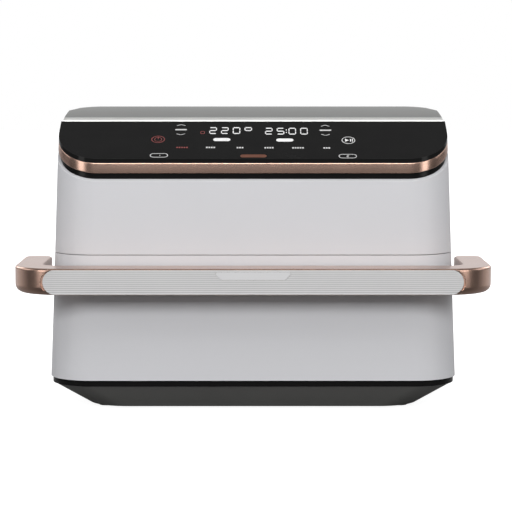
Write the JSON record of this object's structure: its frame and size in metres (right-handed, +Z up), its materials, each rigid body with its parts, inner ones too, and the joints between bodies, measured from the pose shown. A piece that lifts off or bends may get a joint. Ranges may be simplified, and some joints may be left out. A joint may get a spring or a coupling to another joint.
{
  "type": "air fryer",
  "caption": "Countertop air fryer with one wide pull-out drawer that a loose divider parts into two baskets, a wraparound bar handle and a sloping glass control panel",
  "frame": {"origin": "bottom centre of the whole object's box, on the worktop", "axes": "+X to the right seen from the front, +Y to the rear, +Z up"},
  "size_m": [0.4996, 0.385, 0.3181],
  "materials": {
    "white_shell": "moulded white plastic with a soft sheen",
    "white_insert": "fine ribbed white plastic",
    "white_tab": "smooth white plastic",
    "dark_pan": "moulded dark grey plastic",
    "black_band": "glossy black plastic",
    "rose_metal": "rose coloured satin metal finish",
    "black_glass": "black backed panel glass",
    "grey_cover": "satin grey cover",
    "bright_strip": "bright edge",
    "grey_plastic": "moulded grey plastic",
    "rubber_foot": "soft rubber",
    "silicone": "silicone",
    "nonstick": "dark nonstick coating",
    "chamber_steel": "coated sheet steel",
    "bright_steel": "bright steel",
    "heater_steel": "heat-darkened steel sheath",
    "fan_aluminium": "pressed aluminium",
    "cooling_plastic": "moulded black plastic",
    "motor_steel": "zinc plated steel",
    "bush_brass": "sintered bronze",
    "insulator_white": "glazed ceramic",
    "blanket_fibre": "mineral fibre blanket",
    "board_green": "circuit board",
    "display_dark": "light box",
    "screw_steel": "plated screws"
  },
  "bodies": {
    "body": {"base_band": "black_band", "base_pan": "dark_pan", "base_screws": "screw_steel", "control_board": "board_green", "control_glass": "black_glass", "control_tray": "grey_plastic", "cooking_chamber": "chamber_steel", "cord_gland": "grey_plastic", "display_module": "display_dark", "drawer_switch": "grey_plastic", "face_frame": "chamber_steel", "feet": "rubber_foot", "gap_ring": "black_band", "heater_insulators": "insulator_white", "insulation_blanket": "blanket_fibre", "left_heater": "heater_steel", "left_heater_guard": "bright_steel", "left_motor": "motor_steel", "motor_bushes": "bush_brass", "motor_deck": "chamber_steel", "motor_screws": "screw_steel", "outer_housing": "white_shell", "panel_trim": "rose_metal", "power_board": "board_green", "rear_panel": "dark_pan", "rear_screws": "screw_steel", "rear_spacers": "dark_pan", "right_heater": "heater_steel", "right_heater_guard": "bright_steel", "right_motor": "motor_steel", "runners": "chamber_steel", "thermostats": "bright_steel", "top_cover": "grey_cover", "top_strip": "bright_strip"},
    "drawer": {"drawer_front": "white_shell", "front_liner": "grey_plastic", "drawer_seal": "silicone", "basket": "nonstick", "basket_rails": "chamber_steel", "handle_bar": "rose_metal", "handle_insert": "white_insert", "handle_tab": "white_tab", "handle_brackets": "grey_plastic", "handle_screws": "screw_steel"},
    "left_fan": {"left_fan_shaft": "bright_steel", "left_fan_wheel": "fan_aluminium", "left_cooling_wheel": "cooling_plastic"},
    "right_fan": {"right_fan_shaft": "bright_steel", "right_fan_wheel": "fan_aluminium", "right_cooling_wheel": "cooling_plastic"},
    "left_plate": {"left_crisper_plate": "nonstick", "left_plate_bumpers": "silicone"},
    "right_plate": {"right_crisper_plate": "nonstick", "right_plate_bumpers": "silicone"},
    "divider": {"divider": "nonstick"},
    "plunger": {"switch_plunger": "bright_steel"}
  },
  "joints": [
    {"name": "drawer_slide", "type": "slide", "parent": "body", "child": "drawer", "axis": [0, -1, 0], "range_m": [0, 0.245]},
    {"name": "left_fan_spin", "type": "hinge", "parent": "body", "child": "left_fan", "pos_m": [-0.0945, 0.0294, 0.21], "axis": [0, 0, 1], "continuous": true},
    {"name": "right_fan_spin", "type": "hinge", "parent": "body", "child": "right_fan", "pos_m": [0.0945, 0.0294, 0.21], "axis": [0, 0, 1], "continuous": true},
    {"name": "left_plate_lift", "type": "slide", "parent": "drawer", "child": "left_plate", "axis": [0, 0, 1], "range_m": [0, 0.085]},
    {"name": "right_plate_lift", "type": "slide", "parent": "drawer", "child": "right_plate", "axis": [0, 0, 1], "range_m": [0, 0.085]},
    {"name": "divider_lift", "type": "slide", "parent": "drawer", "child": "divider", "axis": [0, 0, 1], "range_m": [0, 0.008]},
    {"name": "plunger_press", "type": "slide", "parent": "body", "child": "plunger", "axis": [0, 1, 0], "range_m": [0, 0.001], "stiffness_N_per_m": 300}
  ]
}
